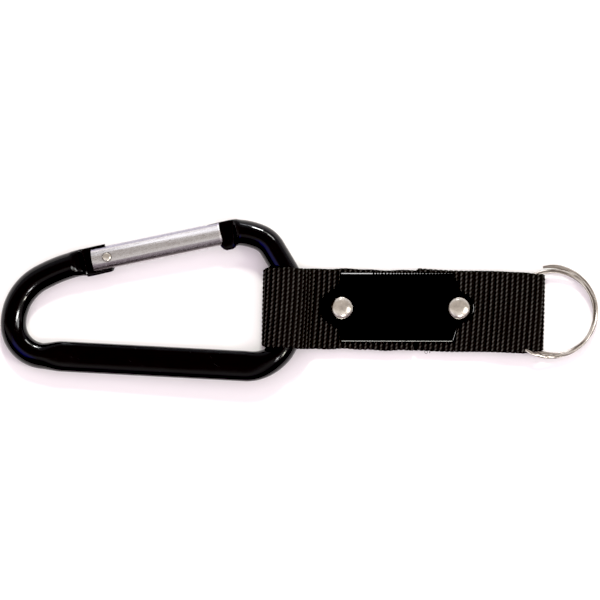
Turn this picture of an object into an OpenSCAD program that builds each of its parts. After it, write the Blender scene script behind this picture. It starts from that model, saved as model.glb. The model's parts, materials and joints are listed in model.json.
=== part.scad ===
// Carabiner keyring: an aluminium snap hook and a steel split ring, joined by a folded
// webbing strap. A name plate and two rivets close the strap. It lies flat, +Z up.
// The strap runs along X. Its own zero is near the plate; centre_x and centre_y shift it.

/* [Carabiner bar] */
// Diameter of the round bar
bar_d = 7; // [6.4:0.1:7]
// Width of the flattened back, across the hook
back_w = 8.1; // [7.2:0.1:8.6]
// Thickness of the flattened back
back_t = 5; // [4:0.1:6]
// Straight length of the back
back_l = 54.9; // [50:0.1:58]
// Place of the short leg inside the strap loop
leg_x = -30.5; // [-30.8:0.1:-30.2]
// Straight length of the short leg
leg_l = 13.2; // [12.6:0.1:13.6]
// Straight length between the short leg and the nose bend
shoulder_l = 6.9; // [6:0.1:8]
// Centreline radius of the nose bend
nose_r = 7; // [6:0.1:8]
// Centreline radius of the flatter start of the nose
brow_r = 17.5; // [15:0.5:20]
// Centreline radius of the bend from back to short leg
heel_r = 10.9; // [10:0.1:12]
// Centreline radius at the far lower corner
toe_r = 8.7; // [8:0.1:9.5]
// Centreline radius above the far lower corner
crown_r = 14.3; // [13.5:0.1:15]
// Centreline radius of the long curve towards the gate
brace_r = 42; // [38:1:46]
// Slope of the gate, in degrees from the strap
gate_slope = 12.9; // [12.4:0.1:13.4]
// Slope of the back, in degrees from the strap
back_slope = 1.8; // [1.5:0.1:2.1]

/* [Gate] */
// Outer diameter of the gate
gate_d = 6.4; // [6:0.1:6.4]
// Bore for the spring
gate_bore = 4; // [3.9:0.05:4.1]
// Depth of the spring bore past the pivot
gate_bore_depth = 18; // [17:0.5:20]
// From the pivot to the nose end of the gate
gate_l = 31.4; // [31:0.1:31.6]
// From the pivot back to the hinge end of the gate
gate_tail = 4.1; // [3.8:0.1:4.3]
// Thickness of the two tongues in the gate's slots
tongue_t = 2; // [1.8:0.1:2.2]
// Slot clearance on each side of a tongue
slot_gap = 0.1; // [0.08:0.01:0.15]
// Diameter of the gate rivet's shank
gate_pin_d = 1.7; // [1.5:0.1:1.8]
// Radial running clearance of the shank
gate_pin_gap = 0.05; // [0.03:0.01:0.08]
// Diameter of the rivet's flush heads
gate_head_d = 2.6; // [2.4:0.1:2.8]
// Wire of the gate spring
spring_wire = 0.45; // [0.35:0.05:0.5]
// Outer diameter of the gate spring
spring_d = 3.4; // [3.2:0.1:3.5]
// Turns of the gate spring
spring_turns = 10; // [8:1:12]

/* [Strap] */
// Width of the webbing
web_w = 22; // [20:0.5:22]
// Thickness of the webbing
web_t = 1.3; // [1.2:0.05:1.4]
// Inner radius of the loop round the hook
loop_r = 4.75; // [4.7:0.05:5]
// Outer end of the fold that holds the split ring
fold_x = 38.9; // [38.6:0.1:39.2]
// Height inside the fold that holds the split ring
pocket_h = 2.2; // [2.2:0.05:2.4]
// Where the two ends of the webbing meet under the plate
butt_x = 4; // [2:0.5:6]
// Gap between the two webbing ends
butt_gap = 0.8; // [0.4:0.1:2]
// Angle of the ring-side webbing end, in degrees
end_skew = 1.2; // [0:0.1:1.5]

/* [Name plate and rivets] */
// Length of the plate between its square corners
plate_l = 31.6; // [30:0.1:33]
// Width of the plate
plate_w = 18.4; // [17:0.1:20]
// Thickness of the plate
plate_t = 0.8; // [0.6:0.1:1]
// Middle of the plate along the strap
plate_x = -0.95; // [-1.2:0.05:-0.7]
// Sideways place of the plate and the rivets
plate_y = 0.5; // [0:0.1:0.8]
// Turn of the plate and its rivets on the strap, in degrees
plate_skew = 1.1; // [0:0.1:1.5]
// Radius of the plate's rounded tabs
tab_r = 4.2; // [4:0.1:4.6]
// Place of the rivet on the carabiner side
rivet_left_x = -16; // [-16.5:0.1:-15.5]
// Place of the rivet on the ring side
rivet_right_x = 15.7; // [15.2:0.1:16.2]
// Diameter of the rivet caps
cap_d = 6; // [5.6:0.1:6.4]
// Height of the domed caps
dome_h = 1.6; // [1.2:0.1:2]
// Thickness of the back caps
back_cap_t = 1.1; // [1:0.1:1.2]
// Outer diameter of the cap's hollow stem
stem_d = 2.8; // [2.6:0.1:3]
// Diameter of the post pressed up the stem
post_d = 1.94; // [1.8:0.02:1.96]

/* [Split ring] */
// Outer diameter of the ring
ring_d = 25; // [24.6:0.1:25]
// Radial width of the flat wire
ring_wire_w = 1.6; // [1.5:0.1:1.8]
// Thickness of the two turns together
ring_t = 2; // [1.8:0.05:2]
// Middle of the ring along the strap
ring_x = 41; // [40.8:0.1:41.2]
// Middle of the ring across the strap
ring_y = 0.2; // [0:0.1:0.4]
// Where the lower turn starts, in degrees
ring_lower_end = 103; // [95:1:110]
// Where the upper turn ends, in degrees
ring_upper_end = 234; // [228:1:240]

/* [Hidden] */

black_metal = "#202024";
black_web = "#2b2927";
black_plate = "#18181a";
bright = "silver";
nickel = "#d2cdc2";

round_fn = 64;
cut_over = 1;

// Heights: the back caps and both folds rest on z = 0
lower_z = back_cap_t;
butt_z = lower_z + web_t;
top_z = butt_z + web_t;
plate_top_z = top_z + plate_t;

// The hook swings in the loop about this line, which runs along Y
swing_x = leg_x - 1;
loop_outer_r = loop_r + web_t;
swing_z = loop_outer_r;

// The strap bends at these lines, just past the plate
flex_left_x = -23;
flex_right_x = 22;
flex_gap = 0.15;
strap_left_x = flex_left_x + web_t + flex_gap;
strap_right_x = flex_right_x - web_t - flex_gap;

// Sections of the bar: half width in the plane of the hook, half thickness, squareness
flat_half_t = tongue_t / 2 - 0.1;
flat_squareness = 6;
section_round = [bar_d / 2, bar_d / 2, 2];
section_back = [back_w / 2, back_t / 2, 3.2];
section_tongue = [3.7, flat_half_t, flat_squareness];
section_nose = [3.5, flat_half_t, flat_squareness];
section_sides = 20;

// Bends and lengths of the bar that make up the rest of its D
nose_heading = -4;
brow_turn = 8;
brow_end_turn = 10;
nose_turn = 36;
shoulder_r = 6.5;
shoulder_turn = 90 + nose_heading - brow_turn - brow_end_turn - nose_turn;
heel_start_r = 8.5;
heel_start_turn = 30;
heel_turn = 90 - heel_start_turn + back_slope;
heel_round_turn = 25;
flatten_l = 6;
toe_turn = 90 - back_slope;
crown_turn = 60;
brace_turn = 12.6;
tongue_turn = 90 - crown_turn - brace_turn - gate_slope;
leg_y = 0.1;

// Stretches of the bar from the nose to the gate's tongue, each turning right:
// length or bend radius, bend angle, section at its end, steps
bar = [
    [brow_r, brow_turn, section_round, 4],
    [brow_r, brow_end_turn, section_round, 2],
    [nose_r, nose_turn, section_round, 5],
    [shoulder_l, 0, section_round, 1],
    [shoulder_r, shoulder_turn, section_round, 4],
    [leg_l, 0, section_round, 1],
    [heel_start_r, heel_start_turn, section_round, 4],
    [heel_r, heel_round_turn, section_round, 3],
    [heel_r, heel_turn - heel_round_turn, section_back, 5],
    [back_l - flatten_l, 0, section_back, 1],
    [flatten_l, 0, section_round, 4],
    [toe_r, toe_turn, section_round, 10],
    [crown_r, crown_turn, section_round, 7],
    [brace_r, brace_turn, section_round, 2],
    [brace_r, tongue_turn, section_tongue, 4]
];
leg_step = 5;
back_step = 9;
toe_step = 11;
pivot_past_bar = 6.5;

// A pose is x, y, heading
function moved(p, s, part) = s[1] == 0
    ? [p[0] + part * s[0] * cos(p[2]), p[1] + part * s[0] * sin(p[2]), p[2]]
    : [p[0] + s[0] * (sin(p[2]) - sin(p[2] - part * s[1])),
        p[1] - s[0] * (cos(p[2]) - cos(p[2] - part * s[1])), p[2] - part * s[1]];
function ease(t) = t * t * (3 - 2 * t);
function blend(a, b, t) = a + (b - a) * ease(t);

// The bar's poses, first from a start at zero, then with the short leg in its place
raw = [for (i = 0, p = [0, 0, nose_heading]; i <= len(bar);
    p = i < len(bar) ? moved(p, bar[i], 1) : p, i = i + 1) p];
leg_middle = (raw[leg_step] + raw[leg_step + 1]) / 2;
shift = [leg_x - leg_middle[0], leg_y - leg_middle[1], 0];
poses = [for (p = raw) p + shift];
tongue_start = poses[len(bar)];
pivot = [tongue_start[0] + pivot_past_bar * cos(gate_slope),
    tongue_start[1] + pivot_past_bar * sin(gate_slope)];

// The hook leans down until its far end rests on the ground
far_x = poses[toe_step + 1][0];
lean = atan((swing_z - bar_d / 2) / (swing_x - far_x));

// The middle of the whole object's box is the origin
far_left = far_x - bar_d / 2;
far_right = ring_x + ring_d / 2;
box_low_y = poses[back_step][1] - back_w / 2;
box_high_y = poses[0][1] + bar_d / 2;
centre_x = (far_left + far_right) / 2;
centre_y = (box_low_y + box_high_y) / 2;

// Fine values of the gate
slot_w = tongue_t + 2 * slot_gap;
inner_slot_end = 5.5;
outer_slot_end = 0.1;
nose_slot_start = gate_l - 4;
head_inner_z = slot_w / 2;
head_outer_z = gate_d / 2 - 0.05;
tip_r = 1.5;
tip_face_x = 2;
tongue_l = 8;
tongue_outer = 3.6;
tongue_inner = 3.7;
cam_w = 2.6;
nose_gap = 0.2;
nose_end = 38;
plunger_gap = 0.06;
plunger_r = gate_bore / 2 - 0.1;
plunger_head_l = 2.4;
plunger_stem_r = 1.05;
plunger_stem_l = 4;

module in_frame() {
    translate([-centre_x, -centre_y, 0]) children();
}

module in_hook() {
    in_frame()
        translate([swing_x, 0, swing_z])
            rotate([0, -lean, 0])
                translate([-swing_x, 0, 0]) children();
}

// Along the gate: pivot at zero, x towards the nose, y outwards
module in_gate() {
    in_hook()
        translate([pivot[0], pivot[1], 0])
            rotate(gate_slope) children();
}

module along_x(d, from, to) {
    translate([from, 0, 0])
        rotate([0, 90, 0])
            cylinder(d = d, h = to - from, $fn = round_fn);
}

// A closed skin over a list of rings that all have the same number of points
module skin(rings) {
    n = len(rings[0]);
    last = len(rings) - 1;
    sides = [for (i = [0:last - 1], j = [0:n - 1], k = [0, 1])
        k == 0
            ? [i * n + j, (i + 1) * n + j, i * n + (j + 1) % n]
            : [i * n + (j + 1) % n, (i + 1) * n + j, (i + 1) * n + (j + 1) % n]];
    start_cap = [[for (j = [0:n - 1]) j]];
    end_cap = [[for (j = [n - 1:-1:0]) last * n + j]];
    polyhedron(points = [for (r = rings) each r], faces = concat(sides, start_cap, end_cap));
}

function power(v, e) = v < 0 ? -pow(-v, e) : pow(v, e);

// One cross-section of the bar, square to its heading
function section_ring(p, s) = [for (k = [0:section_sides - 1])
    let (a = 360 * k / section_sides,
        u = s[0] * power(cos(a), 2 / s[2]),
        v = s[1] * power(sin(a), 2 / s[2]))
    [p[0] - u * sin(p[2]), p[1] + u * cos(p[2]), v]];

function section_before(i) = i == 0 ? section_nose : bar[i - 1][2];

module bar_sweep() {
    first = [section_ring(poses[0], section_nose)];
    others = [for (i = [0:len(bar) - 1], j = [1:bar[i][3]])
        let (t = j / bar[i][3])
        section_ring(moved(poses[i], bar[i], t), blend(section_before(i), bar[i][2], t))];
    skin(concat(first, others));
}

// Flattened end that carries the gate, with the cam that presses the plunger
module hinge_tongue() {
    difference() {
        translate([0, 0, -tongue_t / 2])
            linear_extrude(tongue_t) {
                polygon([[-tongue_l, tongue_outer - 0.2], [0, tongue_outer], [0, -tongue_inner],
                    [1.6 - tongue_l, -tongue_inner - 0.4], [-tongue_l, 0.1 - tongue_inner]]);
                polygon([[-1, 0], [tip_face_x, 0], [tip_face_x, -cam_w],
                    [0.8, 0.1 - tongue_inner], [-1, -tongue_inner]]);
                circle(r = tip_r, $fn = round_fn);
            }
        cylinder(d = gate_pin_d + 2 * gate_pin_gap, h = 2 * tongue_t, center = true,
            $fn = round_fn);
    }
}

// Flattened nose that the gate's far slot closes over
module nose_tongue() {
    tip_x = nose_slot_start + nose_gap;
    lip_y = -4.8;
    translate([0, 0, -tongue_t / 2])
        linear_extrude(tongue_t)
            polygon([[tip_x, 2.6], [tip_x + 0.6, 3.1], [nose_end - 1.6, 3.2], [nose_end, 1],
                [nose_end, -3], [nose_end - 2, lip_y], [nose_end - 5, lip_y],
                [nose_end - 7, lip_y + 0.9], [nose_end - 8, lip_y + 2], [tip_x, -2.4]]);
}

module carabiner_body() {
    color(black_metal) {
        in_hook() bar_sweep();
        in_gate() hinge_tongue();
        in_gate() nose_tongue();
    }
}

// A slot through one side of the gate or through both
module gate_slot(from, to, low_y, high_y) {
    translate([from, low_y, -slot_w / 2])
        cube([to - from, high_y - low_y, slot_w]);
}

module gate_tube() {
    side = gate_d / 2 + cut_over;
    color(bright)
        in_gate() difference() {
            along_x(gate_d, -gate_tail, gate_l);
            along_x(gate_bore, -gate_tail - cut_over, gate_bore_depth);
            gate_slot(-gate_tail - cut_over, outer_slot_end, 0, side);
            gate_slot(-gate_tail - cut_over, inner_slot_end, -side, 0);
            gate_slot(nose_slot_start, gate_l + cut_over, -side, side);
            cylinder(d = gate_head_d, h = 2 * side, center = true, $fn = round_fn);
        }
}

module gate_rivet() {
    color(bright)
        in_gate() {
            cylinder(d = gate_pin_d, h = 2 * head_inner_z + 0.2, center = true, $fn = round_fn);
            for (flip = [0, 180])
                rotate([flip, 0, 0])
                    translate([0, 0, head_inner_z])
                        cylinder(d = gate_head_d - 0.04, h = head_outer_z - head_inner_z,
                            $fn = round_fn);
        }
}

module gate_plunger() {
    face_x = tip_face_x + plunger_gap;
    color(bright)
        in_gate() {
            along_x(2 * plunger_r, face_x, face_x + plunger_head_l);
            along_x(2 * plunger_stem_r, face_x + plunger_head_l / 2,
                face_x + plunger_head_l + plunger_stem_l);
        }
}

// Coil from the plunger's head to the bottom of the bore
module gate_spring() {
    from = tip_face_x + plunger_gap + plunger_head_l + spring_wire / 2 + 0.05;
    to = gate_bore_depth - spring_wire / 2 - 0.05;
    coil_r = (spring_d - spring_wire) / 2;
    steps = 12;
    wire_sides = 6;
    rings = [for (i = [0:spring_turns * steps])
        let (a = 360 * i / steps, x = from + (to - from) * i / (spring_turns * steps))
        [for (k = [0:wire_sides - 1])
            let (b = 360 * k / wire_sides, r = coil_r + spring_wire / 2 * cos(b))
            [x - spring_wire / 2 * sin(b), r * cos(a), r * sin(a)]]];
    color(bright)
        in_gate() skin(rings);
}

// A band across the strap with the given outline in the XZ plane
module across_strap() {
    translate([0, web_w / 2, 0])
        rotate([90, 0, 0])
            linear_extrude(web_w) children();
}

module web_layer(from, to, z) {
    translate([from, -web_w / 2, z])
        cube([to - from, web_w, web_t]);
}

// Turned about the middle of the plate
module on_plate() {
    translate([plate_x, plate_y, 0])
        rotate(plate_skew)
            translate([-plate_x, -plate_y, 0]) children();
}

module rivet_holes(places) {
    on_plate()
        for (x = places)
            translate([x, plate_y, 0])
                cylinder(d = stem_d + 0.2, h = 4 * top_z, center = true, $fn = round_fn);
}

module strap_lower_layer() {
    color(black_web)
        in_frame() difference() {
            web_layer(strap_left_x, strap_right_x, lower_z);
            rivet_holes([rivet_left_x, rivet_right_x]);
        }
}

module strap_end_left() {
    color(black_web)
        in_frame() difference() {
            web_layer(strap_left_x, butt_x - butt_gap / 2, butt_z);
            rivet_holes([rivet_left_x]);
        }
}

// This end lies slightly askew, turned about its outer edge
module strap_end_right() {
    color(black_web)
        in_frame() difference() {
            translate([strap_right_x, 0, 0])
                rotate(-end_skew)
                    web_layer(butt_x + butt_gap / 2 - strap_right_x, -0.3, butt_z);
            rivet_holes([rivet_right_x]);
        }
}

// Where a line from point p touches a circle, on its upper (1) or lower (-1) side
function touch(c, r, p, side) = let (d = p - c, a = atan2(d[1], d[0]) + side * acos(r / norm(d)))
    c + r * [cos(a), sin(a)];

// The straight sides that draw a circle out to a neck, from the neck's top to its bottom
module neck_outline(c, r, neck) {
    // the sides run a hair inside the circle, so that they cross it cleanly
    inner_r = r - 0.02;
    last = neck[len(neck) - 1];
    polygon(concat([c, touch(c, inner_r, neck[0], 1)], neck, [touch(c, inner_r, last, -1)]));
}

module across_strap_circle(c, r) {
    across_strap() translate(c) circle(r = r, $fn = round_fn);
}

module strap_carabiner_loop() {
    axis = [swing_x, swing_z];
    neck_x = flex_left_x - 1;
    inner_x = neck_x - 0.4;
    color(black_web)
        in_frame() difference() {
            union() {
                across_strap_circle(axis, loop_outer_r);
                across_strap()
                    neck_outline(axis, loop_outer_r, [[neck_x, top_z], [flex_left_x, top_z],
                        [flex_left_x, lower_z], [neck_x, lower_z]]);
                across_strap_circle([flex_left_x, butt_z], web_t);
            }
            across_strap_circle(axis, loop_r);
            across_strap()
                neck_outline(axis, loop_r, [[inner_x, butt_z + 0.05], [inner_x, butt_z - 0.05]]);
        }
}

module strap_ring_loop() {
    neck_x = flex_right_x + 1.5;
    open_x = neck_x + 4;
    fold_r = pocket_h / 2 + web_t;
    fold_c = fold_x - fold_r;
    color(black_web)
        in_frame() difference() {
            across_strap() {
                difference() {
                    union() {
                        polygon([[fold_c, butt_z + fold_r], [open_x, butt_z + fold_r],
                            [neck_x, top_z], [flex_right_x, top_z], [flex_right_x, lower_z],
                            [neck_x, lower_z], [open_x, butt_z - fold_r],
                            [fold_c, butt_z - fold_r]]);
                        translate([fold_c, butt_z]) circle(r = fold_r, $fn = round_fn);
                    }
                    polygon([[fold_c, butt_z + pocket_h / 2], [open_x, butt_z + pocket_h / 2],
                        [neck_x + 1, butt_z], [open_x, butt_z - pocket_h / 2],
                        [fold_c, butt_z - pocket_h / 2]]);
                    translate([fold_c, butt_z]) circle(r = pocket_h / 2, $fn = round_fn);
                }
                translate([flex_right_x, butt_z]) circle(r = web_t, $fn = round_fn);
            }
            ring_channel();
        }
}

// Room for the ring where it passes the two edges of the fold
module ring_channel() {
    low = ring_d / 2 - ring_wire_w - 0.2;
    translate([ring_x, ring_y, butt_z - ring_t / 2 - 0.05])
        rotate_extrude($fn = 128)
            translate([low, 0])
                square([ring_wire_w + 0.4, ring_t + 0.1]);
}

module plate_outline() {
    low_x = plate_x - plate_l / 2;
    left_tab_shift = 1.4;
    difference() {
        union() {
            translate([low_x, plate_y - plate_w / 2]) square([plate_l, plate_w]);
            translate([rivet_left_x - left_tab_shift, plate_y]) circle(r = tab_r, $fn = round_fn);
            translate([rivet_right_x, plate_y]) circle(r = tab_r, $fn = round_fn);
        }
        for (x = [rivet_left_x, rivet_right_x])
            translate([x, plate_y]) circle(d = stem_d + 0.1, $fn = round_fn);
    }
}

// The long edges are bevelled on top
module name_plate() {
    bevel = 0.4;
    half = plate_w / 2;
    color(black_plate)
        in_frame() on_plate() intersection() {
            translate([0, 0, top_z]) linear_extrude(plate_t) plate_outline();
            translate([plate_x, plate_y, top_z])
                rotate([90, 0, 90])
                    linear_extrude(2 * plate_l, center = true)
                        polygon([[-half - 1, -1], [half + 1, -1], [half + 1, plate_t - bevel],
                            [half, plate_t - bevel], [half - bevel, plate_t + 0.01],
                            [-half + bevel, plate_t + 0.01], [-half, plate_t - bevel],
                            [-half - 1, plate_t - bevel]]);
        }
}

// Domed cap with a hollow stem that reaches down through plate and strap
module rivet_cap(x) {
    cap_r = cap_d / 2;
    dome_r = (cap_r * cap_r + dome_h * dome_h) / (2 * dome_h);
    color(nickel)
        in_frame() on_plate() translate([x, plate_y, 0]) difference() {
            union() {
                translate([0, 0, plate_top_z]) intersection() {
                    translate([0, 0, dome_h - dome_r]) sphere(r = dome_r, $fn = round_fn);
                    cylinder(r = cap_r + 1, h = dome_h + 1, $fn = round_fn);
                }
                translate([0, 0, back_cap_t + 0.05])
                    cylinder(d = stem_d, h = plate_top_z - back_cap_t + 0.2, $fn = round_fn);
            }
            translate([0, 0, back_cap_t - cut_over])
                cylinder(d = post_d + 0.06, h = top_z - back_cap_t + cut_over + 0.6,
                    $fn = round_fn);
        }
}

// Back cap with the post that is pressed up into the hollow stem
module rivet_post(x) {
    cap_r = cap_d / 2;
    color(nickel)
        in_frame() on_plate() translate([x, plate_y, 0]) {
            rotate_extrude($fn = round_fn)
                polygon([[0, 0], [cap_r - 0.4, 0], [cap_r, 0.4], [cap_r, back_cap_t],
                    [0, back_cap_t]]);
            translate([0, 0, back_cap_t / 2])
                cylinder(d = post_d, h = top_z - back_cap_t / 2 + 0.3, $fn = round_fn);
        }
}

module rivet_cap_left() {
    rivet_cap(rivet_left_x);
}

module rivet_cap_right() {
    rivet_cap(rivet_right_x);
}

module rivet_post_left() {
    rivet_post(rivet_left_x);
}

module rivet_post_right() {
    rivet_post(rivet_right_x);
}

// One flat turn of the ring, clockwise between its two ends, with its lower face at z
module ring_turn(z) {
    sweep = ring_lower_end - ring_upper_end + 360;
    translate([0, 0, z])
        rotate_extrude(angle = sweep, start = ring_upper_end - 360, $fn = 128)
            translate([ring_d / 2 - ring_wire_w, 0])
                square([ring_wire_w, ring_t / 2 - 0.04]);
}

// The hidden stretch where the wire climbs from the lower turn to the upper one
module ring_climb() {
    inset = 0.04;
    low_r = ring_d / 2 - ring_wire_w + inset;
    high_r = ring_d / 2 - inset;
    half_t = ring_t / 4 - inset - 0.02;
    steps = 16;
    from = ring_upper_end + 2;
    to = ring_lower_end - 2;
    rings = [for (i = [0:steps])
        let (a = from + (to - from) * i / steps, t = (i - 1) / (steps - 2),
            z = ring_t / 4 * (2 * ease(max(0, min(1, t))) - 1))
        [[low_r * cos(a), low_r * sin(a), z - half_t],
            [high_r * cos(a), high_r * sin(a), z - half_t],
            [high_r * cos(a), high_r * sin(a), z + half_t],
            [low_r * cos(a), low_r * sin(a), z + half_t]]];
    skin(rings);
}

module split_ring() {
    color(bright)
        in_frame() translate([ring_x, ring_y, butt_z]) {
            ring_turn(-ring_t / 2);
            ring_turn(0.04);
            ring_climb();
        }
}

carabiner_body();
gate_tube();
gate_rivet();
gate_plunger();
gate_spring();
strap_lower_layer();
strap_end_left();
strap_end_right();
strap_carabiner_loop();
strap_ring_loop();
name_plate();
rivet_cap_left();
rivet_cap_right();
rivet_post_left();
rivet_post_right();
split_ring();
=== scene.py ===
"""Looks of the carabiner keyring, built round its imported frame.

Lengths are millimetres in the frame's own axes, and become metres when a mesh is made.
"""
import json
import math

import bmesh
import bpy
import numpy as np
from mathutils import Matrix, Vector


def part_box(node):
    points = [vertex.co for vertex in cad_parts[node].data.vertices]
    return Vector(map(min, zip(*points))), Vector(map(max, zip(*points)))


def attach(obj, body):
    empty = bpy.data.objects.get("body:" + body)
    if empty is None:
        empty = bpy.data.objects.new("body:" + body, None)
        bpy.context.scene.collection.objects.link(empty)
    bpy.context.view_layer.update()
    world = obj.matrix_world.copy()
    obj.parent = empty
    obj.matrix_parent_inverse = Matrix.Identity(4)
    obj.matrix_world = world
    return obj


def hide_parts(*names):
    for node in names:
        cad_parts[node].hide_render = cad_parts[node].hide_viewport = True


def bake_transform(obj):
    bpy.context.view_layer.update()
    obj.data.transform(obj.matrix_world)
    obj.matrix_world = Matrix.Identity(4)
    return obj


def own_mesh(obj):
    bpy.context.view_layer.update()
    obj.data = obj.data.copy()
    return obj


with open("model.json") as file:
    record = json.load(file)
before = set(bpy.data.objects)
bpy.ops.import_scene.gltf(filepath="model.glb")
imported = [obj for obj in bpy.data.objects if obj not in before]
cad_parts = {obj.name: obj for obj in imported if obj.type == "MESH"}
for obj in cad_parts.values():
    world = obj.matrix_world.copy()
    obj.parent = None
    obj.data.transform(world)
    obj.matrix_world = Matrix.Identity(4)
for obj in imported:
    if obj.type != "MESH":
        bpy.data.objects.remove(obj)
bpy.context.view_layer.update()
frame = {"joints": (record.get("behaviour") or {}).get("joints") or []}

MM = 0.001
SEED = 7
JOINTS = {joint["name"]: joint for joint in frame["joints"]}


def box(node):
    """A CAD node's lowest and highest corner, in millimetres."""
    low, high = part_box(node)
    return low / MM, high / MM


def joint_place(name):
    return Vector(JOINTS[name]["pos_m"]) / MM


# ---- Places taken from the frame ----

SWING = joint_place("carabiner_swing")
PIVOT = joint_place("gate_hinge")
RING_CENTRE = joint_place("ring_spin")
HOOK_NORMAL = -Vector(JOINTS["gate_hinge"]["axis"])
LEAN = math.atan2(-HOOK_NORMAL.x, HOOK_NORMAL.z)
GATE_SLOPE = math.asin(JOINTS["plunger_slide"]["axis"][1])

LOWER_LOW, LOWER_HIGH = box("strap_lower_layer")
UPPER_HIGH = box("strap_end_left")[1]
RIGHT_END_LOW, RIGHT_END_HIGH = box("strap_end_right")
LOOP_LOW, LOOP_HIGH = box("strap_carabiner_loop")
FOLD_LOW, FOLD_HIGH = box("strap_ring_loop")
PLATE_LOW, PLATE_HIGH = box("name_plate")

STRAP_Y = (LOWER_LOW.y + LOWER_HIGH.y) / 2
WEB_T = LOWER_HIGH.z - LOWER_LOW.z
WEB_HALF = (LOWER_HIGH.y - LOWER_LOW.y) / 2
BUTT_X = (UPPER_HIGH.x + RIGHT_END_LOW.x) / 2


def middle_of(node):
    low, high = box(node)
    return (low + high) / 2


RIVET_LINE = middle_of("rivet_cap_right") - middle_of("rivet_cap_left")
PLATE_TURN = math.atan2(RIVET_LINE.y, RIVET_LINE.x)
PLATE_W = 18.8
PLATE_RAISE = 0.2


# ---- Mesh helpers ----

def new_object(name, data):
    made = bpy.data.objects.new(name, data)
    bpy.context.scene.collection.objects.link(made)
    return made


def make_piece(name, points, faces, surface, sharp=None):
    """A smooth-shaded mesh object from points in millimetres."""
    mesh = bpy.data.meshes.new(name)
    mesh.from_pydata((np.asarray(points) * MM).tolist(), [], faces)
    mesh.materials.append(surface)
    mesh.shade_smooth()
    if sharp:
        mesh.set_sharp_from_angle(angle=math.radians(sharp))
    return new_object(name, mesh)


def ring_faces(count, sides):
    """Quads between rings of the same number of points, with a face at each end."""
    faces = []
    for a in range(0, (count - 1) * sides, sides):
        b = a + sides
        for j in range(sides):
            k = (j + 1) % sides
            faces.append((a + j, a + k, b + k, b + j))
    faces.append(tuple(range(sides - 1, -1, -1)))
    faces.append(tuple((count - 1) * sides + j for j in range(sides)))
    return faces


def sweep(name, rings, surface, sharp=None):
    rings = np.asarray(rings)
    count, sides = rings.shape[:2]
    return make_piece(name, rings.reshape(-1, 3), ring_faces(count, sides), surface, sharp)


def full_turn(count):
    """Even angles round a circle."""
    return np.linspace(0, 2 * math.pi, count, endpoint=False)


def squarish(count, square):
    """A unit circle drawn out towards a square, as its sideways and its upward places."""
    turn = full_turn(count)
    return [np.sign(v) * abs(v) ** (2 / square) for v in (np.cos(turn), np.sin(turn))]


def flipped(faces):
    return [tuple(reversed(face)) for face in faces]


def lathe(profile, steps):
    """Points and faces of a profile of (radius, height) pairs turned about the z axis."""
    points = [(radius * math.cos(a), radius * math.sin(a), height)
              for radius, height in profile for a in full_turn(steps)]
    return np.array(points), flipped(ring_faces(len(profile), steps))


def paint(piece, name, values):
    """Stores a value for each point of the mesh, for its material."""
    layer = piece.data.attributes.new(name, "FLOAT", "POINT")
    layer.data.foreach_set("value", values.astype(np.float32).ravel())


def ease(t):
    t = np.clip(t, 0, 1)
    return t * t * (3 - 2 * t)


def keyed(places, keys):
    """Smoothly interpolates rows of values; keys are (place, value, value, ...)."""
    keys = np.array(keys, float)
    places = np.asarray(places, float)
    spans = np.clip(np.searchsorted(keys[:, 0], places, side="right") - 1, 0, len(keys) - 2)
    start, end = keys[spans], keys[spans + 1]
    t = ease((places - start[:, 0]) / (end[:, 0] - start[:, 0]))
    return start[:, 1:] + (end[:, 1:] - start[:, 1:]) * t[:, None]


def from_hook(points):
    """Points in the hook's plane, x from the swing axis and y from the strap's middle."""
    x, y, z = np.asarray(points, float).reshape(-1, 3).T
    return np.stack([
        SWING.x + x * math.cos(LEAN) - z * math.sin(LEAN),
        STRAP_Y + y,
        SWING.z + x * math.sin(LEAN) + z * math.cos(LEAN),
    ], axis=1)


def gate_to_hook(points):
    """Points with the gate's pivot as origin and x towards the nose, in the hook's plane."""
    x, y, z = np.asarray(points, float).reshape(-1, 3).T
    c, s = math.cos(GATE_SLOPE), math.sin(GATE_SLOPE)
    pivot_x = (PIVOT.x - SWING.x) / math.cos(LEAN)
    pivot_y = PIVOT.y - STRAP_Y
    return np.stack([pivot_x + x * c - y * s, pivot_y + x * s + y * c, z], axis=1)


def from_gate(points):
    return from_hook(gate_to_hook(points))


def gate_line():
    """The gate's pivot and the direction from it towards the nose."""
    pivot, ahead = from_gate([(0, 0, 0), (1, 0, 0)])
    return pivot, ahead - pivot


# ---- Materials ----

def add_node(tree, kind, settings=None, **inputs):
    """A shader node; an input is a value or another node's output."""
    made = tree.nodes.new(kind)
    for key, value in (settings or {}).items():
        setattr(made, key, value)
    for key, value in inputs.items():
        socket = made.inputs[int(key[1:])] if key[1:].isdigit() else made.inputs[key.replace("_", " ")]
        if isinstance(value, bpy.types.NodeSocket):
            tree.links.new(value, socket)
        else:
            socket.default_value = value
    return made


def maths(tree, operation, *values):
    return add_node(tree, "ShaderNodeMath", {"operation": operation},
                    **{"_%d" % i: value for i, value in enumerate(values)}).outputs[0]


def vectors(tree, operation, **inputs):
    return add_node(tree, "ShaderNodeVectorMath", {"operation": operation}, **inputs).outputs


def painted(tree, name):
    """A value that the mesh's points carry."""
    return add_node(tree, "ShaderNodeAttribute", {"attribute_name": name}).outputs["Fac"]


def new_surface(name, colour, metallic=0.0, roughness=0.5, specular=0.5):
    surface = bpy.data.materials.new(name)
    surface.use_nodes = True
    shader = surface.node_tree.nodes["Principled BSDF"]
    shader.inputs["Base Color"].default_value = (*colour, 1)
    shader.inputs["Metallic"].default_value = metallic
    shader.inputs["Roughness"].default_value = roughness
    shader.inputs["Specular IOR Level"].default_value = specular
    return surface, surface.node_tree, shader


def noise(tree, where, scale, detail, rough=0.5):
    return add_node(tree, "ShaderNodeTexNoise", Vector=where, Scale=scale, Detail=detail,
                    Roughness=rough).outputs["Fac"]


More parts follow.
